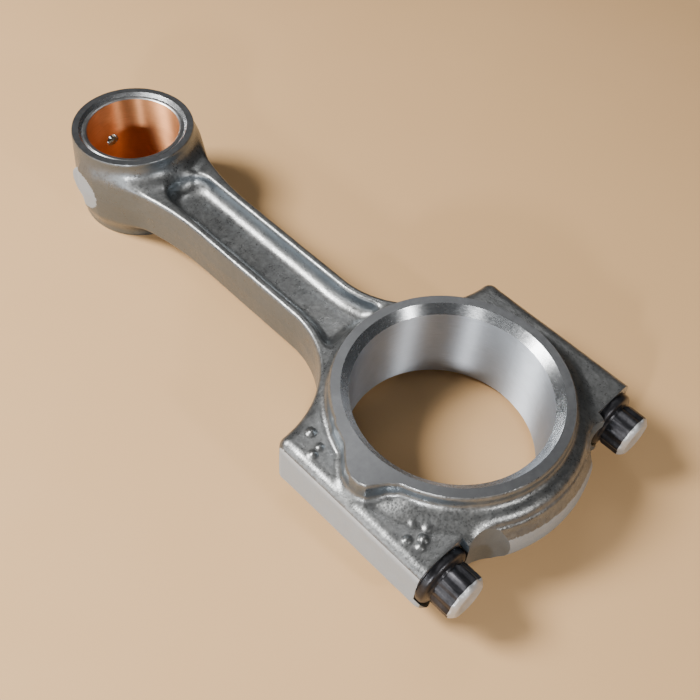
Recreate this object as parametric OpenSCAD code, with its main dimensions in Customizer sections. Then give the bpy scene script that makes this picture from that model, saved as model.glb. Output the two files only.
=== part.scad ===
// Connecting rod for a small four-stroke engine: forged rod with an I-section
// shank, detachable bearing cap held by two flanged cap screws, and a bronze
// small-end bush.
// Frame: origin at the centre of the big-end bore, at mid-thickness.
// +Z runs along the bores, +Y along the shank to the small end, X across the
// screws. The rod and the cap meet on the plane y = 0.

/* [Bores] */
// Distance between the big-end and small-end bore centres
centres = 143; // [138:1:150]
// Radius of the big-end housing bore
big_bore_r = 28; // [27.5:0.1:28.2]
// Chamfer at both mouths of the big-end bore
big_chamfer = 2.4; // [0.5:0.1:2.8]
// Radius of the hole in the small-end bush
bush_bore_r = 15; // [14:0.1:15.4]
// Outer radius of the small-end bush, equal to its housing
bush_outer_r = 16.5; // [16:0.1:16.8]
// How far each end of the bush sits below the face of the small end
bush_inset = 0.8; // [0.2:0.1:1.5]
// Chamfer at both mouths of the bush
bush_chamfer = 0.6; // [0.2:0.1:0.8]
// Chamfer at both mouths of the small-end housing
small_chamfer = 1.1; // [0.4:0.1:1.4]
// Radius of the oil hole through the tip of the small end
oil_hole_r = 2.2; // [1:0.1:2.5]

/* [Machined faces] */
// Half of the width over the thrust faces
face_half = 15.65; // [14.5:0.05:16.5]
// Outer radius of the thrust ring at the big end
ring_r = 33.5; // [32.6:0.1:34]
// How far the ear of the thrust face reaches from the bore axis
ear_x = 39.5; // [38:0.1:40]
// Outer radius of the small end at its faces
eye_r = 19.9; // [19:0.1:20.5]
// Draft of the forged walls: extra radius at mid-thickness
draft = 0.9; // [0.4:0.1:1.2]

/* [Bolt bosses] */
// Half of the width across the outer faces of the two bosses
boss_x = 43.6; // [43:0.1:44.5]
// Half of the thickness of the bosses
boss_half = 9.3; // [9:0.1:10]
// Where the shoulders of the rod-side bosses end
shoulder_y = 23; // [21:0.5:25]
// Where the forged ends of the cap-side bosses lie
boss_end_y = -32.8; // [-34:0.1:-31.5]
// Rounding of the boss corners, seen from above
boss_corner = 3.2; // [2:0.1:4]
// Rounding of the boss edges, seen from the end
boss_edge = 3.8; // [1.5:0.1:4.5]

/* [Cap] */
// Outer radius of the cap's back at mid-thickness
cap_r = 41.7; // [40.8:0.1:42.5]
// Radius of the relief milled into the cap's back beside each screw head
scallop_r = 7.2; // [6.5:0.1:7.6]

/* [Cap screws] */
// Distance of each screw from the bore axis
screw_x = 35.3; // [35.1:0.1:35.6]
// Plane that the screw flanges sit on
seat_y = -29.3; // [-31:0.1:-29]
// Radius of the spot face under each flange
spot_r = 8.9; // [8.8:0.1:9.1]
// Radius of the screw flange
flange_r = 8.5; // [8:0.1:8.7]
// Thickness of the screw flange
flange_t = 2.6; // [2.2:0.1:3]
// Radius over the twelve points of the head
head_r = 6.75; // [6.3:0.05:7]
// Height of the screw from its seat to the end of the head
head_h = 10.7; // [8.5:0.1:11]
// Radius of the fitted band that locates the cap on the rod
fit_r = 5.35; // [5.3:0.01:5.36]
// Radius of the waisted shank
waist_r = 4.4; // [4.2:0.1:4.8]
// Radius of the threaded end
thread_r = 4.95; // [4.9:0.01:5]
// Radius of the screw hole through the cap and into the rod
hole_r = 5.4; // [5.4:0.05:5.6]
// Radius of the threaded hole further up in the rod
tapped_r = 5.05; // [5.05:0.01:5.1]
// Where the tip of the screw ends
tip_y = 20.5; // [18:0.5:20.5]

/* [Shank] */
// Half of the width of the shank
shank_w = 10.7; // [10:0.1:12]
// Half of the thickness of the shank
shank_t = 8.2; // [7.5:0.1:9]
// Half of the thickness of the web between the two pockets
web_t = 2.6; // [2:0.1:3.5]
// Width of each flange's edge
flange_w = 2.9; // [2.5:0.1:3.5]
// Radius of the flank between the shank and the boss shoulders
flank_r = 29.9; // [28:0.1:31]
// Radius of the neck between the shank and the small end
neck_r = 100; // [70:1:110]
// Radius of the flat pads on both sides of the small end
pad_r = 7; // [6:0.1:7.5]
// How far the pads reach from the shank's middle plane
pad_x = 21; // [20.8:0.1:21.8]

/* [Hidden] */
$fn = 144;
flank_x = shank_w + flank_r;
flank_y = shoulder_y + flank_r;
neck_x = shank_w + neck_r;
eye_mid = eye_r + draft;
neck_y = centres - sqrt(pow(neck_r + eye_r + 0.4, 2) - neck_x * neck_x);
ledge_r = 36.2;
ledge_z = 11.2;

// Rectangle with exact round corners
module round_rect(x0, y0, x1, y1, r) {
    translate([x0 + r, y0]) square([x1 - x0 - 2 * r, y1 - y0]);
    translate([x0, y0 + r]) square([x1 - x0, y1 - y0 - 2 * r]);
    for (x = [x0 + r, x1 - r], y = [y0 + r, y1 - r]) translate([x, y]) circle(r);
}

// Long bar along Y whose section carries the round edges of the bosses
module boss_section() {
    rotate([90, 0, 0]) linear_extrude(400, center = true)
        round_rect(-boss_x, -boss_half, boss_x, boss_half, boss_edge);
}

// Half section of the thrust ring, with its outer edges broken
module ring_profile() {
    polygon([[20, -face_half], [ring_r - 0.8, -face_half], [ring_r, -face_half + 0.8],
        [ring_r, face_half - 0.8], [ring_r - 0.8, face_half], [20, face_half]]);
}

// Ear of the thrust face across the parting plane, on the -X side only
module ear() {
    mirror([1, 0, 0]) linear_extrude(2 * face_half, center = true)
        polygon([[20, -9.6], [32.6, -9.6], [ear_x - 1, -5.8], [ear_x, -3.5], [ear_x, -0.6],
            [ear_x - 1.2, 2.3], [33.1, 7.8], [30.5, 14], [20, 14]]);
}

// Big-end bore with a chamfer at both mouths
module big_bore() {
    c = face_half - big_chamfer;
    rotate(45) rotate_extrude($fn = 192) polygon([[0, -30], [big_bore_r + big_chamfer + 10, -face_half - 10],
        [big_bore_r, -c], [big_bore_r, c], [big_bore_r + big_chamfer + 10, face_half + 10], [0, 30]]);
}

module half_space(side) {
    translate([-100, side > 0 ? 0 : -100, -50]) cube([200, 100 + (side > 0 ? 150 : 0), 100]);
}

// Outline of the forked end, the shank and the neck, seen from above
module rod_outline() {
    difference() {
        union() {
            round_rect(-boss_x, -10, boss_x, shoulder_y, boss_corner);
            translate([-flank_x, 0]) square([2 * flank_x, flank_y]);
        }
        for (s = [-1, 1]) translate([s * flank_x, flank_y]) circle(flank_r);
    }
    translate([-shank_w, flank_y]) square([2 * shank_w, neck_y - flank_y]);
    difference() {
        translate([-eye_r, neck_y]) square([2 * eye_r, centres - neck_y]);
        for (s = [-1, 1]) translate([s * neck_x, neck_y]) circle(neck_r);
    }
}

// Side view of the forging: thickness against the distance along the rod
module rod_side() {
    slope = (boss_half - shank_t) / 19;
    rotate([90, 0, 90]) linear_extrude(120, center = true)
        polygon([[-20, -shank_t - 66 * slope], [46, -shank_t], [centres, -shank_t],
            [centres, shank_t], [46, shank_t], [-20, shank_t + 66 * slope]]);
}

// Pocket that makes the shank an I-section, seen from above
module pocket_outline() {
    w = shank_w - flange_w;
    difference() {
        union() {
            translate([-w, 50]) square([2 * w, 63]);
            translate([0, 113]) circle(w);
            translate([-22, 30]) square([44, 23]);
        }
        circle(ring_r + 3.6);
        for (s = [-1, 1]) translate([s * flank_x, flank_y]) circle(flank_r + flange_w);
    }
}

module eye_solid() {
    rotate(45) rotate_extrude() polygon([[0, -face_half], [eye_r, -face_half],
        [eye_mid, 0], [eye_r, face_half], [0, face_half]]);
}

// Screw hole in the rod: the fitted length, then the threaded length
module rod_hole() {
    rotate([-90, 0, 0]) rotate_extrude() polygon([[0, -2], [hole_r, -2], [hole_r, 9],
        [tapped_r, 9.4], [tapped_r, 40], [0, 40]]);
}

// Screw hole in the cap, with the spot face under the flange
module cap_hole() {
    rotate([-90, 0, 0]) rotate_extrude() polygon([[0, 2], [0, -60], [spot_r, -60],
        [spot_r, seat_y], [hole_r, seat_y], [hole_r, 2]]);
}

// Relief for a socket between the screw head and the cap's back
module relief() {
    translate([24.5, -31.3 - scallop_r, 0]) rotate(20) cylinder(h = 80, r = scallop_r, center = true);
}

// The end of the screw boss milled back to the seat, down to just below the screw's middle
module end_flat() {
    translate([28, -70, -3]) cube([30, 70 + seat_y - 0.15, 30]);
}

// Small-end housing with a chamfer at both mouths
module small_bore() {
    c = face_half - small_chamfer;
    rotate(45) rotate_extrude() polygon([[0, -30], [bush_outer_r + small_chamfer + 10, -face_half - 10],
        [bush_outer_r, -c], [bush_outer_r, c], [bush_outer_r + small_chamfer + 10, face_half + 10], [0, 30]]);
}

// Forging of the rod before machining, with both pockets
module rod_forging() {
    difference() {
        union() {
            intersection() {
                linear_extrude(40, center = true) rod_outline();
                boss_section();
                rod_side();
            }
            rotate(45) rotate_extrude($fn = 192) ring_profile();
            ear();
        }
        for (s = [0, 1]) mirror([0, 0, s]) translate([0, 0, web_t])
            linear_extrude(20) pocket_outline();
    }
    translate([0, centres, 0]) {
        eye_solid();
        translate([0, 1, 0]) rotate([0, 90, 0]) cylinder(h = 2 * pad_x, r = pad_r, center = true);
    }
}

// Forged rod: upper half of the big end, shank and small-end eye
module rod_body() {
    color("#6f706c") difference() {
        difference() {
            difference() {
                intersection() {
                    rod_forging();
                    half_space(1);
                }
                big_bore();
            }
            translate([0, centres, 0]) small_bore();
        }
        translate([-screw_x, 0, 0]) rod_hole();
        translate([screw_x, 0, 0]) rod_hole();
        translate([0, centres + 10, 0]) rotate([-90, 45, 0]) cylinder(h = 20, r = oil_hole_r);
    }
}

// Bronze bush pressed into the small end, with its oil hole
module small_end_bush() {
    l = face_half - bush_inset;
    color("#b5652c") translate([0, centres, 0]) difference() {
        rotate_extrude() polygon([[bush_bore_r, -l + bush_chamfer], [bush_bore_r + bush_chamfer, -l],
            [bush_outer_r, -l], [bush_outer_r, l], [bush_bore_r + bush_chamfer, l],
            [bush_bore_r, l - bush_chamfer]]);
        translate([0, 10, 0]) rotate([-90, 45, 0]) cylinder(h = 20, r = oil_hole_r);
    }
}

// Half section of the cap's back: ledge under the thrust ring, then a steep
// slope with one step down to the side band
module cap_profile() {
    polygon([[20, -ledge_z], [ledge_r, -ledge_z], [ledge_r + 1.2, -ledge_z + 0.8],
        [ledge_r + 3.1, -6.6], [ledge_r + 4, -5.6], [cap_r - 0.9, -3.4], [cap_r, -2.6],
        [cap_r, 2.6], [cap_r - 0.9, 3.4], [ledge_r + 4, 5.6], [ledge_r + 3.1, 6.6],
        [ledge_r + 1.2, ledge_z - 0.8], [ledge_r, ledge_z], [20, ledge_z]]);
}

// Side view of the cap's bosses, with their forged ends rounded
module cap_side() {
    rotate([90, 0, 90]) linear_extrude(120, center = true)
        round_rect(boss_end_y, -boss_half, 20, boss_half, boss_edge);
}

// Cap before its screw holes are drilled
module cap_blank() {
    difference() {
        intersection() {
            union() {
                intersection() {
                    linear_extrude(40, center = true)
                        round_rect(-boss_x, boss_end_y, boss_x, 10, boss_corner);
                    boss_section();
                    cap_side();
                }
                rotate(45) rotate_extrude($fn = 192) cap_profile();
                rotate(45) rotate_extrude($fn = 192) ring_profile();
                ear();
            }
            half_space(-1);
        }
        big_bore();
    }
}

// Detachable bearing cap: lower half of the big end with both screw bosses
module bearing_cap() {
    color("#6a6b67") difference() {
        difference() {
            difference() {
                difference() {
                    difference() {
                        difference() {
                            cap_blank();
                            mirror([1, 0, 0]) relief();
                        }
                        relief();
                    }
                    mirror([1, 0, 0]) end_flat();
                }
                end_flat();
            }
            mirror([1, 0, 0]) translate([screw_x, 0, 0]) cap_hole();
        }
        translate([screw_x, 0, 0]) cap_hole();
    }
}

// Twelve-point flanged cap screw along +Y, its seat on the plane y = 0
module cap_screw() {
    l = tip_y - seat_y;
    joint = -seat_y;
    rotate([-90, 0, 0]) {
        rotate_extrude() polygon([[0, -head_h], [head_r - 2, -head_h], [head_r - 1.1, -head_h + 1],
            [head_r - 1.1, -flange_t + 0.2], [flange_r - 0.5, -flange_t + 0.6], [flange_r, -flange_t + 1.1],
            [flange_r, 0], [fit_r, 0], [fit_r, 5], [waist_r, 6], [waist_r, joint - 8.5], [fit_r, joint - 7.5],
            [fit_r, joint + 7.5], [waist_r, joint + 8.5], [waist_r, joint + 9.2], [thread_r, joint + 9.8],
            [thread_r, l - 1], [thread_r - 1, l], [0, l]]);
        intersection() {
            translate([0, 0, -head_h]) linear_extrude(head_h - 1) for (a = [0, 30])
                rotate(a) circle(head_r, $fn = 6);
            rotate_extrude() polygon([[0, -head_h], [head_r - 1.6, -head_h], [head_r, -head_h + 1.6],
                [head_r, 0], [0, 0]]);
        }
    }
}

module cap_screw_left() {
    color("#26262a") translate([-screw_x, seat_y, 0]) cap_screw();
}

module cap_screw_right() {
    color("#26262a") translate([screw_x, seat_y, 0]) cap_screw();
}

rod_body();
small_end_bush();
bearing_cap();
cap_screw_left();
cap_screw_right();
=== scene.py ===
import math

import bpy
import numpy as np
from mathutils import Matrix, Vector


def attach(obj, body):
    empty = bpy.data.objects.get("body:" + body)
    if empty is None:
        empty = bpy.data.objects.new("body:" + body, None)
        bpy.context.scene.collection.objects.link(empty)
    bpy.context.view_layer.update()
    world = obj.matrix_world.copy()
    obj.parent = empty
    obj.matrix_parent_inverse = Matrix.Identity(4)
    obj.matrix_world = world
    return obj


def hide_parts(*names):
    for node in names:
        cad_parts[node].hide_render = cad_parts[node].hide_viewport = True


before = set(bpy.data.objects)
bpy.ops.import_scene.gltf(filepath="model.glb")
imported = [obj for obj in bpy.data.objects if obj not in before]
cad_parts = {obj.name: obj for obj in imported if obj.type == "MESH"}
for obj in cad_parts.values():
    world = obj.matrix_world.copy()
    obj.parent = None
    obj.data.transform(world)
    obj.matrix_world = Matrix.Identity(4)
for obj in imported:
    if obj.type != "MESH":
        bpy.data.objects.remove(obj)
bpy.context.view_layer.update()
MM = 0.001

# ---------------------------------------------------------------- dimensions, mm
C = 143.0            # between the bore centres
RB, RB_CH = 28.0, 2.4
FACE = 15.65
RING, EYE, EYE_MID = 33.5, 19.9, 20.75
BX, BT, SHY, BEY, BC = 43.6, 9.3, 23.0, -32.8, 3.2
SX, SEAT = 35.3, -29.3
SW, ST, WEB, FLW = 10.7, 8.2, 2.6, 2.9
FLR, NKR = 29.9, 100.0
NKX = SW + NKR
NKY = C - math.sqrt((NKR + EYE + 0.4) ** 2 - NKX ** 2)
CAPR = 41.7
STEP = 0.5


# ---------------------------------------------------------------- distance-field tools
def ri(a, b, r):
    """Intersection whose edge has radius r."""
    return np.minimum(-r, np.maximum(a, b)) + np.hypot(np.maximum(r + a, 0), np.maximum(r + b, 0))


def ru(a, b, r):
    """Union whose inner corner has a fillet of radius r."""
    return np.maximum(r, np.minimum(a, b)) - np.hypot(np.maximum(r - a, 0), np.maximum(r - b, 0))


def ss(e0, e1, v):
    t = np.clip((v - e0) / (e1 - e0), 0, 1)
    return t * t * (3 - 2 * t)


def polygon_distance(x, y, pts):
    d = np.full(x.shape, 1e9, np.float32)
    inside = np.zeros(x.shape, bool)
    n = len(pts)
    for i in range(n):
        ax, ay = pts[i]
        bx, by = pts[(i + 1) % n]
        ex, ey = bx - ax, by - ay
        wx, wy = x - ax, y - ay
        t = np.clip((wx * ex + wy * ey) / (ex * ex + ey * ey), 0, 1)
        d = np.minimum(d, np.hypot(wx - t * ex, wy - t * ey))
        crosses = ((ay > y) != (by > y)) & (x < (bx - ax) * (y - ay) / ((by - ay) or 1e-9) + ax)
        inside ^= crosses
    return np.where(inside, -d, d)


class Lumps:
    """Smooth value noise from a seeded lattice."""

    def __init__(self, seed, size):
        self.table = np.random.RandomState(seed).uniform(-1, 1, (32, 32, 32)).astype(np.float32)
        self.size = size

    def __call__(self, x, y, z):
        out = 0
        q = [v / self.size + 1000.0 for v in (x, y, z)]
        i = [np.floor(v).astype(np.int32) for v in q]
        f = [v - w for v, w in zip(q, i)]
        f = [v * v * (3 - 2 * v) for v in f]
        for a in (0, 1):
            wa = f[0] if a else 1 - f[0]
            for b in (0, 1):
                wb = f[1] if b else 1 - f[1]
                for c in (0, 1):
                    wc = f[2] if c else 1 - f[2]
                    out = out + wa * wb * wc * self.table[(i[0] + a) & 31, (i[1] + b) & 31, (i[2] + c) & 31]
        return out


big_lumps, small_lumps = Lumps(3, 7.0), Lumps(8, 2.1)
EAR = [(20, -9.7), (32.6, -9.5), (38.6, -5.6), (39.6, -3.4), (39.6, -0.7), (38.3, 2.4), (35.6, 5.5),
       (33.0, 7.8), (30.8, 13), (20, 13)]
# small raised pips of no meaning, where a forging carries its marks
PIPS = [(-34.8, 18.2, 1.3), (-39.0, 12.9, 1.2), (-36.2, 13.4, 1.0), (-38.6, -20.6, 1.15), (-35.4, -23.2, 1.35),
        (-37.4, -24.0, 1.2), (-32.6, -21.8, 1.15), (-34.2, -18.4, 1.0)]


def roughness(x, y, z):
    return 0.05 * big_lumps(x, y, z) + 0.035 * small_lumps(x, y, z)


def raised_ring(x, y, z):
    """Thrust ring and its ear, a little higher than the faces that are ground on them."""
    ax, az = np.abs(x), np.abs(z)
    r = np.hypot(x, y)
    ear = polygon_distance(-x, y, EAR)
    plan = ru(ear, r - (RING + 0.1), 2.0)
    plan = plan - 0.05 * (14 - az)
    return ri(plan, az - 16.3, 1.9)


def pips(d, x, y, z):
    az = np.abs(z)
    for px, py, pr in PIPS:
        blob = np.sqrt((x - px) ** 2 + (y - py) ** 2 + (az - BT + 0.45) ** 2) - pr
        d = ru(d, blob, 0.5)
    return d


def rod_forging(x, y, z):
    ax, az = np.abs(x), np.abs(z)
    strip = np.where(y < NKY, ax - SW, NKR - np.hypot(ax - NKX, y - NKY))
    strip = np.maximum(np.maximum(strip, y - C), ax - EYE)
    plan = ru(strip, y - SHY, FLR)
    plan = ri(plan, ax - BX, BC)
    plan = plan + 0.045 * (az - 4) * ss(20, 34, y)
    half = ST + (BT - ST) * (1 - ss(23, 46, y))
    edge = 1.25 + 2.75 * (1 - ss(17, 31, y))
    body = ri(plan, az - half, edge)
    # pockets of the I-section
    flank = FLR + FLW - np.hypot(ax - SW - FLR, y - SHY - FLR)
    side = np.where(y < SHY + FLR, np.maximum(flank, ax - 22), ax - (SW - FLW))
    side = side + 0.14 * (ST - az)
    near = 37.3 + 0.25 * (ST - az) - np.hypot(x, y)
    far = y - 121.2 + 0.45 * (ST - az)
    pocket = ri(ri(ri(side, far, 7.6), near, 4.5), WEB - az, 3.6)
    body = ri(body, -pocket, 1.15)
    # small end
    r = np.hypot(x, y - C)
    eye = ri(r - (EYE_MID - (EYE_MID - EYE) * az / FACE), az - 16.2, 1.2)
    body = ru(body, eye, 6.0)
    pad = ri(np.hypot(y - C - 1, z) - 7.0, ax - 20.9, 0.4)
    body = ru(body, pad, 0.9)
    body = ru(body, raised_ring(x, y, z), 2.2)
    body = pips(body, x, y, z)
    body = body + roughness(x, y, z)
    return ri(body, -y - 1.6, 0.1)


def cap_forging(x, y, z):
    ax, az = np.abs(x), np.abs(z)
    r = np.hypot(x, y)
    plan = ri(ax - BX, BEY - y, BC)
    body = ri(plan, az - BT, 4.0)
    drop = ss(-16, -2, y)
    slope = ((r - 36.9) * 7.4 + (az - 11.2 + 1.9 * drop) * 4.1) / 8.46
    band = ri(r - CAPR + 0.05, slope, 0.9)
    back = ri(band, az - 11.2 + 1.9 * drop, 2.0)
    step = ri(r - 39.0, az - 7.9 + 1.2 * drop, 0.5)
    back = ru(back, step, 0.6)
    body = ru(body, back, 2.0)
    body = ru(body, raised_ring(x, y, z), 2.2)
    body = pips(body, x, y, z)
    body = body + roughness(x, y, z)
    return ri(body, y - 1.6, 0.1)


def surface(f, lo, hi, step):
    """Closed quad mesh of f = 0 between two corners, by surface nets, then moved onto the surface."""
    n = [int(math.ceil((b - a) / step)) + 1 for a, b in zip(lo, hi)]
    axes = [(a + step * np.arange(k)).astype(np.float32) for a, k in zip(lo, n)]
    grid = np.empty(n, np.float32)
    for i in range(0, n[0], 16):
        X, Y, Z = np.meshgrid(axes[0][i:i + 16], axes[1], axes[2], indexing="ij")
        grid[i:i + 16] = f(X, Y, Z)
    s = grid < 0
    cell = [k - 1 for k in n]
    acc = np.zeros(cell + [3], np.float32)
    cnt = np.zeros(cell, np.float32)
    corner = lambda a, b, c: (slice(a, a + cell[0]), slice(b, b + cell[1]), slice(c, c + cell[2]))
    for axis in range(3):
        for u in (0, 1):
            for v in (0, 1):
                p = [0, 0, 0]
                o = [k for k in range(3) if k != axis]
                p[o[0]], p[o[1]] = u, v
                q = list(p)
                q[axis] = 1
                g0, g1 = grid[corner(*p)], grid[corner(*q)]
                hit = s[corner(*p)] != s[corner(*q)]
                t = np.where(hit, g0 / np.where(hit, g0 - g1, 1), 0)
                point = np.zeros(cell + [3], np.float32)
                point[..., 0], point[..., 1], point[..., 2] = p
                point[..., axis] += t
                acc += point * hit[..., None]
                cnt += hit
    used = cnt > 0
    index = np.full(cell, -1, np.int64)
    index[used] = np.arange(used.sum())
    where = np.argwhere(used)
    verts = (where + acc[used] / cnt[used][:, None]) * step + np.array(lo)
    quads = []
    for axis in range(3):
        a, b = [k for k in range(3) if k != axis]
        s0 = np.take(s, range(0, n[axis] - 1), axis)
        s1 = np.take(s, range(1, n[axis]), axis)
        e = np.argwhere(s0 != s1)
        inner = (e[:, a] > 0) & (e[:, b] > 0) & (e[:, a] < n[a] - 1) & (e[:, b] < n[b] - 1)
        e = e[inner]
        inside = s[tuple(e.T)]
        da, db = np.zeros(3, int), np.zeros(3, int)
        da[a], db[b] = 1, 1
        c = [index[tuple(k.T)] for k in (e - da - db, e - db, e, e - da)]
        q = np.stack(c, 1)
        turn = inside if axis != 1 else ~inside
        q[~turn] = q[~turn][:, ::-1]
        quads.append(q)
    quads = np.concatenate(quads)
    v = verts.astype(np.float64)
    h = 0.02
    for _ in range(3):
        x, y, z = v.T
        d = f(x, y, z)
        g = np.stack([f(x + h, y, z) - f(x - h, y, z), f(x, y + h, z) - f(x, y - h, z),
                      f(x, y, z + h) - f(x, y, z - h)], 1) / (2 * h)
        length = np.maximum((g ** 2).sum(1), 0.2)
        move = -g * (d / length)[:, None]
        size = np.linalg.norm(move, axis=1)
        move *= np.minimum(1, 0.3 * step / np.maximum(size, 1e-9))[:, None]
        v = v + move
    return v, quads


def build(name, verts, faces, smooth=True):
    mesh = bpy.data.meshes.new(name)
    mesh.from_pydata([tuple(p) for p in np.asarray(verts) * MM], [], [tuple(int(i) for i in q) for q in faces])
    mesh.update()
    mesh.shade_smooth() if smooth else mesh.shade_flat()
    o = bpy.data.objects.new(name, mesh)
    bpy.context.scene.collection.objects.link(o)
    return o


def build_fast(name, verts, quads):
    mesh = bpy.data.meshes.new(name)
    mesh.vertices.add(len(verts))
    mesh.vertices.foreach_set("co", (np.asarray(verts) * MM).astype(np.float32).ravel())
    mesh.loops.add(4 * len(quads))
    mesh.loops.foreach_set("vertex_index", quads.astype(np.int32).ravel())
    mesh.polygons.add(len(quads))
    mesh.polygons.foreach_set("loop_start", (4 * np.arange(len(quads))).astype(np.int32))
    mesh.update(calc_edges=True)
    mesh.validate()
    mesh.shade_smooth()
    o = bpy.data.objects.new(name, mesh)
    bpy.context.scene.collection.objects.link(o)
    return o


def lathe(name, profile, centre=(0, 0, 0), axis="z", n=128, radius=None, closed=False):
    """Solid of revolution. profile is (radius, height) points. radius(k, angle, r) may change a ring."""
    th = 2 * math.pi * np.arange(n) / n
    verts, faces, rings = [], [], []
    for k, (r, h) in enumerate(profile):
        if r <= 1e-6 and not closed:
            rings.append([len(verts)])
            verts.append((0, 0, h))
            continue
        rr = np.full(n, r, float) if radius is None else radius(k, th, r, h)
        hh = np.full(n, h, float)
        rings.append(list(range(len(verts), len(verts) + n)))
        verts += [(a, b, c) for a, b, c in zip(rr * np.cos(th), rr * np.sin(th), hh)]
    pairs = list(zip(rings[:-1], rings[1:]))
    if closed:
        pairs.append((rings[-1], rings[0]))
    for A, B in pairs:
        if len(A) == 1 and len(B) == 1:
            continue
        for i in range(n):
            j = (i + 1) % n
            if len(A) == 1:
                faces.append((A[0], B[j], B[i]))
            elif len(B) == 1:
                faces.append((A[i], A[j], B[0]))
            else:
                faces.append((A[i], A[j], B[j], B[i]))
    v = np.array(verts, float)
    if axis == "y":
        v = np.stack([v[:, 0], v[:, 2], -v[:, 1]], 1)
    v = v + np.array(centre)
    return build(name, v, faces)


def block(name, lo, hi):
    x0, y0, z0 = lo
    x1, y1, z1 = hi
    v = [(x0, y0, z0), (x1, y0, z0), (x1, y1, z0), (x0, y1, z0), (x0, y0, z1), (x1, y0, z1), (x1, y1, z1), (x0, y1, z1)]
    f = [(0, 3, 2, 1), (4, 5, 6, 7), (0, 1, 5, 4), (1, 2, 6, 5), (2, 3, 7, 6), (3, 0, 4, 7)]
    return build(name, v, f, smooth=False)


def outward(o):
    import bmesh
    b = bmesh.new()
    b.from_mesh(o.data)
    bmesh.ops.recalc_face_normals(b, faces=b.faces)
    if b.calc_volume(signed=True) < 0:
        bmesh.ops.reverse_faces(b, faces=b.faces)
    b.to_mesh(o.data)
    b.free()
    return o


def cut(o, tool, solver="MANIFOLD"):
    outward(tool)
    m = o.modifiers.new("cut", "BOOLEAN")
    m.operation, m.object, m.solver = "DIFFERENCE", tool, solver
    dg = bpy.context.evaluated_depsgraph_get()
    mesh = bpy.data.meshes.new_from_object(o.evaluated_get(dg), preserve_all_data_layers=False, depsgraph=dg)
    o.modifiers.clear()
    if len(mesh.polygons) == 0 and solver == "MANIFOLD":
        bpy.data.meshes.remove(mesh)
        return cut(o, tool, "EXACT")
    old = o.data
    o.data = mesh
    mesh.name = o.name
    bpy.data.meshes.remove(old)
    bpy.data.objects.remove(tool)
    return o


def faces_of(mesh):
    n = len(mesh.polygons)
    c, nr = np.empty(n * 3, np.float32), np.empty(n * 3, np.float32)
    mesh.polygons.foreach_get("center", c)
    mesh.polygons.foreach_get("normal", nr)
    return c.reshape(-1, 3) / MM, nr.reshape(-1, 3)


def finish_mesh(o, materials, index, angle=32):
    mesh = o.data
    mesh.materials.clear()
    for m in materials:
        mesh.materials.append(m)
    mesh.polygons.foreach_set("material_index", index.astype(np.int32))
    mesh.shade_smooth()
    mesh.set_sharp_from_angle(angle=math.radians(angle))
    mesh.update()


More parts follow.
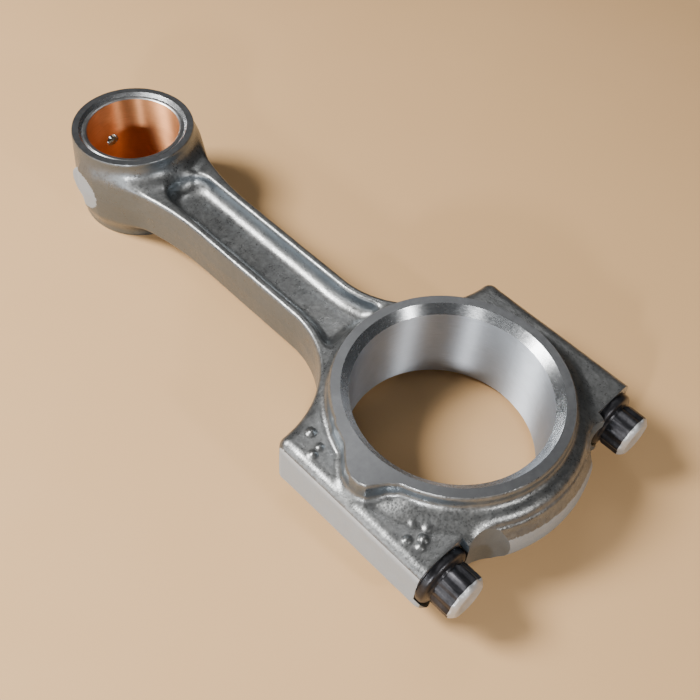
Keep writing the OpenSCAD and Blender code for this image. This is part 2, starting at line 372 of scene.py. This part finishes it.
# ---------------------------------------------------------------- materials
class Nodes:
    def __init__(self, name):
        self.m = bpy.data.materials.new(name)
        self.m.use_nodes = True
        self.t = self.m.node_tree
        self.t.nodes.clear()
        self.out = self.t.nodes.new("ShaderNodeOutputMaterial")
        self.b = self.t.nodes.new("ShaderNodeBsdfPrincipled")
        self.t.links.new(self.b.outputs[0], self.out.inputs[0])
        self.pos = self.t.nodes.new("ShaderNodeTexCoord").outputs["Object"]

    def link(self, a, b):
        self.t.links.new(a, b)

    def scaled(self, s):
        n = self.t.nodes.new("ShaderNodeMapping")
        n.inputs["Scale"].default_value = s
        self.link(self.pos, n.inputs["Vector"])
        return n.outputs[0]

    def noise(self, scale, detail=3.0, rough=0.55, vector=None, distortion=0.0):
        n = self.t.nodes.new("ShaderNodeTexNoise")
        n.inputs["Scale"].default_value = scale
        n.inputs["Detail"].default_value = detail
        n.inputs["Roughness"].default_value = rough
        n.inputs["Distortion"].default_value = distortion
        self.link(vector or self.pos, n.inputs["Vector"])
        return n.outputs["Fac"]

    def voronoi(self, scale, vector=None):
        n = self.t.nodes.new("ShaderNodeTexVoronoi")
        n.inputs["Scale"].default_value = scale
        self.link(vector or self.pos, n.inputs["Vector"])
        return n.outputs["Distance"]

    def ramp(self, fac, stops):
        n = self.t.nodes.new("ShaderNodeValToRGB")
        e = n.color_ramp.elements
        while len(e) < len(stops):
            e.new(0.5)
        for k, (p, c) in enumerate(stops):
            e[k].position = p
            e[k].color = (*c, 1) if len(c) == 3 else c
        self.link(fac, n.inputs[0])
        return n.outputs[0]

    def span(self, fac, a, b, lo=0.0, hi=1.0):
        n = self.t.nodes.new("ShaderNodeMapRange")
        for k, v in zip(("From Min", "From Max", "To Min", "To Max"), (lo, hi, a, b)):
            n.inputs[k].default_value = v
        self.link(fac, n.inputs["Value"])
        return n.outputs[0]

    def mix(self, fac, a, b, blend="MIX"):
        n = self.t.nodes.new("ShaderNodeMix")
        n.data_type, n.blend_type = "RGBA", blend
        if isinstance(fac, float):
            n.inputs[0].default_value = fac
        else:
            self.link(fac, n.inputs[0])
        for k, v in ((6, a), (7, b)):
            if isinstance(v, tuple):
                n.inputs[k].default_value = (*v, 1)
            else:
                self.link(v, n.inputs[k])
        return n.outputs[2]

    def math(self, op, a, b):
        n = self.t.nodes.new("ShaderNodeMath")
        n.operation = op
        for k, v in enumerate((a, b)):
            if isinstance(v, (int, float)):
                n.inputs[k].default_value = v
            else:
                self.link(v, n.inputs[k])
        return n.outputs[0]

    def bump(self, height, strength, distance, under=None):
        n = self.t.nodes.new("ShaderNodeBump")
        n.inputs["Strength"].default_value = strength
        n.inputs["Distance"].default_value = distance
        self.link(height, n.inputs["Height"])
        if under:
            self.link(under, n.inputs["Normal"])
        return n.outputs[0]

    def along(self, kind, centre=(0.0, 0.0)):
        """Direction in which a tooled face spreads its highlights: along Z in a bore, radial on a turned face."""
        n = self.t.nodes.new("ShaderNodeCombineXYZ")
        if kind == "z":
            n.inputs[2].default_value = 1.0
        else:
            sep = self.t.nodes.new("ShaderNodeSeparateXYZ")
            self.link(self.pos, sep.inputs[0])
            self.link(self.math("SUBTRACT", sep.outputs[0], centre[0]), n.inputs[0])
            self.link(self.math("SUBTRACT", sep.outputs[1], centre[1]), n.inputs[1])
        self.link(n.outputs[0], self.b.inputs["Tangent"])

    def upright_painted_reflection(self, colour, painted_reflection_colour):
        """Painted reflection: a bluer colour mixed in on the faces that stand upright, chosen by their normal, in place
        of the warm floor that these steel walls mirror.
        """
        g = self.t.nodes.new("ShaderNodeNewGeometry")
        sep = self.t.nodes.new("ShaderNodeSeparateXYZ")
        self.link(g.outputs["Normal"], sep.inputs[0])
        steep = self.math("SUBTRACT", 1.0, self.math("ABSOLUTE", sep.outputs[2], 0.0))
        return self.mix(self.span(steep, 0.0, 0.8, 0.35, 0.9), colour, painted_reflection_colour)

    def done(self, colour, rough, metallic, normal=None, **constants):
        self.link(colour, self.b.inputs["Base Color"])
        self.link(rough, self.b.inputs["Roughness"])
        self.b.inputs["Metallic"].default_value = metallic
        if normal:
            self.link(normal, self.b.inputs["Normal"])
        for k, v in constants.items():
            self.b.inputs[k.replace("_", " ")].default_value = v
        return self.m


def forged_steel(name, dark, light, rough=(0.34, 0.50), grain=1.0, metallic=0.93, blend=1.0):
    s = Nodes(name)
    big = s.noise(55, 4, 0.6)
    fine = s.noise(900, 3, 0.6)
    speck = s.voronoi(1500)
    tone = s.ramp(big, [(0.3, dark), (0.72, light)])
    warm = s.mix(s.span(s.noise(120, 3), 0.0, 0.3 * blend, 0.45, 0.75), tone, tuple(v * k for v, k in zip(light, (0.95, 0.91, 0.85))))
    colour = s.mix(s.span(fine, 0.0, 0.45 * blend, 0.42, 0.66), warm, tuple(v * 0.6 for v in dark))
    # painted reflection: faces that stand upright turn bluer, chosen by their normal
    colour = s.upright_painted_reflection(colour, tuple(v * k for v, k in zip(light, (0.52, 0.65, 0.80))))
    r = s.math("ADD", s.span(s.noise(300, 4, 0.65), rough[0], rough[1], 0.3, 0.7), s.span(speck, -0.05, 0.06, 0.1, 0.6))
    n = s.bump(speck, 0.30 * grain, 0.00012)
    n = s.bump(fine, 0.34 * grain, 0.00016, n)
    n = s.bump(s.noise(260, 3, 0.5), 0.22 * grain, 0.0004, n)
    return s.done(colour, r, metallic, n, IOR=2.2)


def machined(name, dark, light, rough, lines, strength=0.15, metallic=0.97, aniso=0.0, kind=None):
    """Ground or turned steel with fine tool lines. lines scales the noise along each axis."""
    s = Nodes(name)
    tool = s.noise(1.0, 3, 0.6, s.scaled(lines))
    cloud = s.noise(90, 4, 0.6)
    colour = s.mix(s.span(cloud, 0, 1, 0.3, 0.7), s.ramp(tool, [(0.3, dark), (0.7, light)]), tuple(v * 0.8 for v in light))
    r = s.math("ADD", s.span(cloud, rough[0], rough[1], 0.3, 0.7), s.span(tool, -0.03, 0.03, 0.3, 0.7))
    n = s.bump(tool, strength, 0.00003)
    if kind:
        s.along(kind)
    return s.done(colour, r, metallic, n, Anisotropic=aniso)


FORGED = forged_steel("forged_steel_blasted", (0.112, 0.115, 0.115), (0.246, 0.251, 0.250), grain=0.6, rough=(0.26, 0.38), metallic=0.84)
FORGED_CAP = forged_steel("forged_steel_cap_blasted", (0.124, 0.127, 0.127), (0.270, 0.275, 0.274), grain=0.6, rough=(0.26, 0.38), metallic=0.84)
SIDE = forged_steel("ground_boss_side", (0.46, 0.475, 0.48), (0.55, 0.565, 0.575), rough=(0.42, 0.52), grain=0.25, metallic=0.6,
                    blend=0.25)
RELIEF = forged_steel("milled_relief", (0.24, 0.25, 0.255), (0.33, 0.34, 0.345), rough=(0.32, 0.40), grain=0.2, metallic=0.8,
                      blend=0.3)
BAND = forged_steel("cap_edge_band", (0.24, 0.245, 0.245), (0.34, 0.346, 0.346), rough=(0.42, 0.54), grain=0.5, metallic=0.4,
                    blend=0.4)
GROUND = machined("ground_thrust_face", (0.115, 0.118, 0.123), (0.175, 0.179, 0.185), (0.32, 0.42), (500, 500, 500), 0.25,
                  0.85, 0.5, "r")
BORE = machined("honed_bore", (0.39, 0.42, 0.46), (0.50, 0.535, 0.585), (0.46, 0.52), (250, 250, 2600), 0.2, 0.93, 0.95, "z")
CHAMFER = machined("turned_chamfer", (0.42, 0.435, 0.45), (0.55, 0.565, 0.58), (0.22, 0.29), (900, 900, 3000), 0.2, 0.97, 0.7, "r")
SHELL = machined("steel_bush_shell", (0.26, 0.26, 0.26), (0.42, 0.42, 0.42), (0.3, 0.4), (700, 700, 2000), 0.15)
SPOT = machined("milled_seat", (0.36, 0.37, 0.38), (0.52, 0.53, 0.54), (0.32, 0.42), (700, 700, 700), 0.25)


def bronze():
    s = Nodes("bronze_bush")
    tool = s.noise(1.0, 3, 0.6, s.scaled((260, 260, 3000)))
    cloud = s.noise(70, 4, 0.6)
    base = s.ramp(cloud, [(0.28, (0.54, 0.235, 0.100)), (0.6, (0.68, 0.310, 0.132)), (0.85, (0.78, 0.390, 0.172))])
    colour = s.mix(s.span(tool, 0.0, 0.5, 0.4, 0.7), base, (0.50, 0.235, 0.10))
    r = s.math("ADD", s.span(cloud, 0.46, 0.54, 0.3, 0.7), s.span(tool, -0.03, 0.04, 0.3, 0.7))
    s.along("z")
    return s.done(colour, r, 0.80, s.bump(tool, 0.15, 0.00003), Anisotropic=0.93)


def black_oxide(name, dark, light, metallic=0.75, rough=(0.3, 0.46)):
    s = Nodes(name)
    cloud = s.noise(220, 4, 0.6)
    fine = s.noise(1500, 3, 0.6)
    colour = s.mix(s.span(fine, 0, 0.6, 0.45, 0.7), s.ramp(cloud, [(0.3, dark), (0.75, light)]), dark)
    r = s.span(cloud, rough[0], rough[1], 0.3, 0.7)
    return s.done(colour, r, metallic, s.bump(fine, 0.2, 0.00008), Coat_Weight=0.12, Coat_Roughness=0.25)


BRONZE = bronze()
OXIDE = black_oxide("black_oxide", (0.018, 0.018, 0.021), (0.055, 0.054, 0.060))
OXIDE_WORN = black_oxide("worn_oxide_edge", (0.40, 0.41, 0.42), (0.52, 0.53, 0.54), 0.55, (0.36, 0.48))


# ---------------------------------------------------------------- the forged pieces
def bore_tool(name, centre, r, ch, n):
    c = FACE - ch
    k = 8
    return lathe(name, [(0, -FACE - k), (r + ch + k, -FACE - k), (r, -c), (r, c), (r + ch + k, FACE + k), (0, FACE + k)],
                 centre, "z", n)


def rod_hole_tool(s):
    return lathe("hole", [(0, -3), (5.4, -3), (5.4, 9), (5.05, 9.4), (5.05, 26), (0, 26)], (s * SX, 0, 0), "y", 64)


def cap_hole_tool(s):
    return lathe("hole", [(0, -60), (8.9, -60), (8.9, SEAT), (5.4, SEAT), (5.4, 3), (0, 3)], (s * SX, 0, 0), "y", 96)


def relief_tool(s):
    return lathe("relief", [(0, -40), (7.2, -40), (7.2, 40), (0, 40)], (s * 24.5, -38.5, 0), "z", 96)


def trim_faces(o):
    cut(o, block("t", (-90, -90, FACE), (90, 200, 40)))
    cut(o, block("t", (-90, -90, -40), (90, 200, -FACE)))


def classify(o, cap):
    c, n = faces_of(o.data)
    r = np.hypot(c[:, 0], c[:, 1])
    e = np.hypot(c[:, 0], c[:, 1] - C)
    az, ax, an = np.abs(c[:, 2]), np.abs(c[:, 0]), np.abs(n)
    idx = np.zeros(len(c), int)
    idx[(ax > BX - 0.5) & (an[:, 0] > 0.8)] = 4
    idx[(az > FACE - 0.02) & (an[:, 2] > 0.999)] = 1
    idx[(np.abs(c[:, 1]) < 0.01) & (an[:, 1] > 0.999)] = 1
    idx[(r < RB + 0.1) & (an[:, 2] < 0.2)] = 2
    idx[(r > RB - 0.05) & (r < RB + RB_CH + 0.1) & (az > FACE - RB_CH - 0.1) & (an[:, 2] > 0.4) & (an[:, 2] < 0.9)] = 3
    if not cap:
        idx[(e < 16.7) & (an[:, 2] < 0.2)] = 2
        idx[(e < 17.8) & (az > 14.4) & (an[:, 2] > 0.4) & (an[:, 2] < 0.9)] = 3
        pad = (ax > 20.5) & (np.hypot(c[:, 1] - C - 1, c[:, 2]) < 7.1)
        idx[pad] = 4
        hole = (np.hypot(c[:, 0], c[:, 2]) < 2.35) & (c[:, 1] > C + 10) & (an[:, 1] < 0.3)
        idx[hole] = 3
        for s in (-1, 1):
            q = np.hypot(c[:, 0] - s * SX, c[:, 2])
            idx[(q < 5.45) & (c[:, 1] < 27) & (c[:, 1] > 0)] = 5
    else:
        idx[(az < 4.4) & (r > 37) & (ax < 33) & (c[:, 1] < -8)] = 7
        for s in (-1, 1):
            q = np.hypot(c[:, 0] - s * SX, c[:, 2])
            across = np.abs((n[:, 0] * (c[:, 0] - s * SX) + n[:, 2] * c[:, 2]) / np.maximum(q, 1e-3))
            idx[(np.abs(q - 8.9) < 0.05) & (c[:, 1] < SEAT + 0.05) & (across > 0.98)] = 5
            idx[(q < 9) & (np.abs(c[:, 1] - SEAT) < 0.02)] = 5
            idx[(s * c[:, 0] > 27.9) & (np.abs(c[:, 1] - SEAT + 0.15) < 0.02) & (an[:, 1] > 0.99)] = 5
            g = np.hypot(c[:, 0] - s * 24.5, c[:, 1] + 38.5)
            idx[(np.abs(g - 7.2) < 0.05) & (an[:, 2] < 0.05)] = 6
            idx[(q < 5.45) & (c[:, 1] < 0) & (c[:, 1] > SEAT)] = 5
    finish_mesh(o, [FORGED_CAP if cap else FORGED, GROUND, BORE, CHAMFER, SIDE, SPOT, RELIEF, BAND], idx)


v, q = surface(rod_forging, (-46, -3.6, -18), (46, 167, 18), STEP)
rod = outward(build_fast("forged_rod", v, q))
trim_faces(rod)
cut(rod, block("t", (-90, -40, -40), (90, 0, 40)))
cut(rod, bore_tool("t", (0, 0, 0), RB, RB_CH, 256))
cut(rod, bore_tool("t", (0, C, 0), 16.5, 1.1, 192))
for s in (-1, 1):
    cut(rod, rod_hole_tool(s))
cut(rod, lathe("t", [(0, 10), (2.2, 10), (2.2, 30), (0, 30)], (0, C, 0), "y", 48))
classify(rod, False)

v, q = surface(cap_forging, (-46, -45, -18), (46, 3.6, 18), STEP)
cap = outward(build_fast("forged_cap", v, q))
trim_faces(cap)
cut(cap, block("t", (-90, 0, -40), (90, 40, 40)))
cut(cap, bore_tool("t", (0, 0, 0), RB, RB_CH, 256))
for s in (-1, 1):
    cut(cap, relief_tool(s))
    cut(cap, block("flat", (min(s * 28, s * 58), -70, -3), (max(s * 28, s * 58), SEAT - 0.15, 27)))
    cut(cap, cap_hole_tool(s))
classify(cap, True)


# ---------------------------------------------------------------- bush
def make_bush():
    l, ch = FACE - 0.8, 0.6
    b = lathe("small_end_bronze_bush", [(15, -l + ch), (15.12, -l + 0.3), (15.4, -l + 0.08), (15 + ch, -l), (16.3, -l),
                                        (16.49, -l + 0.2), (16.49, l - 0.2), (16.3, l), (15 + ch, l), (15.4, l - 0.08),
                                        (15.12, l - 0.3), (15, l - ch)], (0, C, 0), "z", 192, closed=True)
    outward(b)
    cut(b, lathe("t", [(0, 10), (2.2, 10), (2.2, 22), (0, 22)], (0, C, 0), "y", 48))
    c, n = faces_of(b.data)
    q = np.hypot(c[:, 0], c[:, 1] - C)
    idx = np.where((q < 15.2) | ((q < 15.8) & (np.hypot(c[:, 0], c[:, 2]) < 2.3) & (c[:, 1] > C)), 0, 1)
    finish_mesh(b, [BRONZE, SHELL], idx, 30)
    return b


bush = make_bush()


# ---------------------------------------------------------------- cap screws
def make_screw(name, s):
    R, head, tip = 6.75, -10.7, 20.5 - SEAT
    joint = -SEAT

    def star(th):
        h = lambda a: R * math.cos(math.pi / 6) / np.cos((a % (math.pi / 3)) - math.pi / 6)
        v = np.maximum(h(th), h(th + math.pi / 6))
        v = np.minimum(v, R - 0.12)
        return np.maximum(v, 6.08 + 0.0 * v)

    prof = [(0, head + 0.25, 0), (3.0, head + 0.22, 0), (3.6, head, 0), (4.6, head, 0), (5.2, head + 0.12, 0),
            (5.75, head + 0.55, 1), (6.2, head + 1.0, 1), (6.55, head + 1.5, 1), (7.2, head + 1.9, 1),
            (7.2, -3.9, 1), (6.3, -3.3, 1), (6.6, -2.85, 2), (7.3, -2.6, 2), (7.8, -2.45, 2), (8.15, -2.2, 2), (8.4, -1.8, 2),
            (8.48, -1.4, 2), (8.48, -0.3, 2), (8.25, 0, 2), (5.6, 0, 2), (5.35, 0.3, 2), (5.35, 5, 2), (4.4, 6, 2),
            (4.4, joint - 8.5, 2), (5.35, joint - 7.5, 2), (5.35, joint + 7.5, 2), (4.4, joint + 8.5, 2),
            (4.4, joint + 9.2, 2)]
    pitch, t0, t1 = 1.25, joint + 9.2, tip - 1.0
    m = 96
    for k in range(1, m + 1):
        prof.append((4.93, t0 + (t1 - t0) * k / m, 3))
    prof += [(4.2, tip - 0.3, 2), (3.9, tip, 2), (0, tip, 2)]

    def radius(k, th, r, h):
        kind = prof[k][2]
        if kind == 1:
            return np.minimum(r, star(th))
        if kind == 3:
            ph = (h / pitch - th / (2 * math.pi)) % 1.0
            crest = 1 - np.abs(2 * ph - 1)
            lead = min(1.0, (h - t0) / 1.2) * min(1.0, (t1 - h) / 0.8 + 0.15)
            base = 4.4 if h - t0 < 1.2 else 4.25
            return base + (4.93 - base) * np.clip(crest * 1.35 - 0.1, 0, 1) * lead
        return np.full(len(th), r, float)

    o = lathe(name, [(p[0], p[1]) for p in prof], (s * SX, SEAT, 0), "y", 120, radius)
    outward(o)
    c, n = faces_of(o.data)
    h = c[:, 1] - SEAT
    q = np.hypot(c[:, 0] - s * SX, c[:, 2])
    idx = np.zeros(len(c), int)
    idx[(h < head + 1.45) & (q > 3.5)] = 1
    idx[(h < head + 0.3)] = 1
    finish_mesh(o, [OXIDE, OXIDE_WORN], idx, 24)
    return o


screw_l = make_screw("cap_screw_12pt_left", -1)
screw_r = make_screw("cap_screw_12pt_right", 1)

for o, node, body, slot in ((rod, "rod_body", "rod", "forged_steel"), (cap, "bearing_cap", "cap", "forged_steel_cap"),
                            (bush, "small_end_bush", "rod", "bronze"), (screw_l, "cap_screw_left", "screw_left", "black_oxide"),
                            (screw_r, "cap_screw_right", "screw_right", "black_oxide")):
    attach(o, body)
    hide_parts(node)

# ---------------------------------------------------------------- floor, light, camera
floor = lathe("floor", [(0, -FACE - 6), (1500, -FACE - 6), (1500, -FACE), (0, -FACE)], n=96)
outward(floor)
fl = Nodes("plain_floor")
col = fl.mix(fl.span(fl.noise(6, 3), 0, 1, 0.3, 0.7), (0.520, 0.312, 0.140), (0.538, 0.325, 0.149))
fl.done(col, fl.span(fl.noise(40, 2), 0.75, 0.85, 0.3, 0.7), 0.0)
floor.data.materials.append(fl.m)

world = bpy.data.worlds.new("studio")
bpy.context.scene.world = world
world.use_nodes = True
world.node_tree.nodes["Background"].inputs[0].default_value = (0.90, 0.93, 0.96, 1)
world.node_tree.nodes["Background"].inputs[1].default_value = 0.04

target = Vector((-0.0903, 1.2891, 0.0)) * 0.028


def area(name, at, size, power, colour=(1, 1, 1), aim=(0, 0.04, 0)):
    d = bpy.data.lights.new(name, "AREA")
    d.shape, d.size, d.size_y = "RECTANGLE", size[0], size[1]
    d.energy, d.color = power, colour
    o = bpy.data.objects.new(name, d)
    bpy.context.scene.collection.objects.link(o)
    o.location = Vector(at)
    o.rotation_euler = (Vector(aim) - o.location).to_track_quat("-Z", "Y").to_euler()
    return o


az, el, roll, dist = (math.radians(-48.1339), math.radians(51.8957), math.radians(5.1872), 10.0463)
back = Vector((math.sin(az) * math.cos(el), -math.cos(az) * math.cos(el), math.sin(el)))
right = Vector((math.cos(az), math.sin(az), 0))
up = back.cross(right)
cx = right * math.cos(roll) + up * math.sin(roll)
cy = -right * math.sin(roll) + up * math.cos(roll)


def at(r, u, b):
    """A point given in the camera's own right, up and back directions from the object, in metres."""
    return cx * r + cy * u + back * b + Vector((0, 0.04, 0))


def from_side(direction, distance, base=(0.0, 0.04, 0.0)):
    return Vector(base) + Vector(direction).normalized() * distance


area("key_left", from_side((-0.48, 0.50, 0.72), 0.9), (0.26, 0.26), 19.0, (1.0, 0.99, 0.97))
area("window_left", from_side((-0.95, 0.08, 0.27), 1.0), (0.8, 0.35), 3.8, (0.97, 0.99, 1.0))
area("lamp_front", from_side((0.0, -0.89, 0.44), 0.7), (0.05, 0.05), 1.7, (1.0, 0.99, 0.97), (0.0, 0.0, 0.0))
area("lamp_left", from_side((-0.85, -0.50, 0.42), 0.7), (0.05, 0.05), 3.3, (1.0, 1.0, 1.0), (0.0, 0.0, 0.0))
area("lamp_back", (0.148, 0.145, 0.324), (0.12, 0.12), 0.18, (1.0, 1.0, 1.0), (-0.036, -0.018, 0.009))

cam = bpy.data.cameras.new("camera")
cam.sensor_width, cam.sensor_fit = 36.0, "HORIZONTAL"
cam.lens = 953.875 / 700 * 36
cam.clip_start, cam.clip_end = 0.01, 20
co = bpy.data.objects.new("camera", cam)
bpy.context.scene.collection.objects.link(co)
m = Matrix((cx, cy, back)).transposed().to_4x4()
m.translation = target + back * dist * 0.028
co.matrix_world = m
bpy.context.scene.camera = co
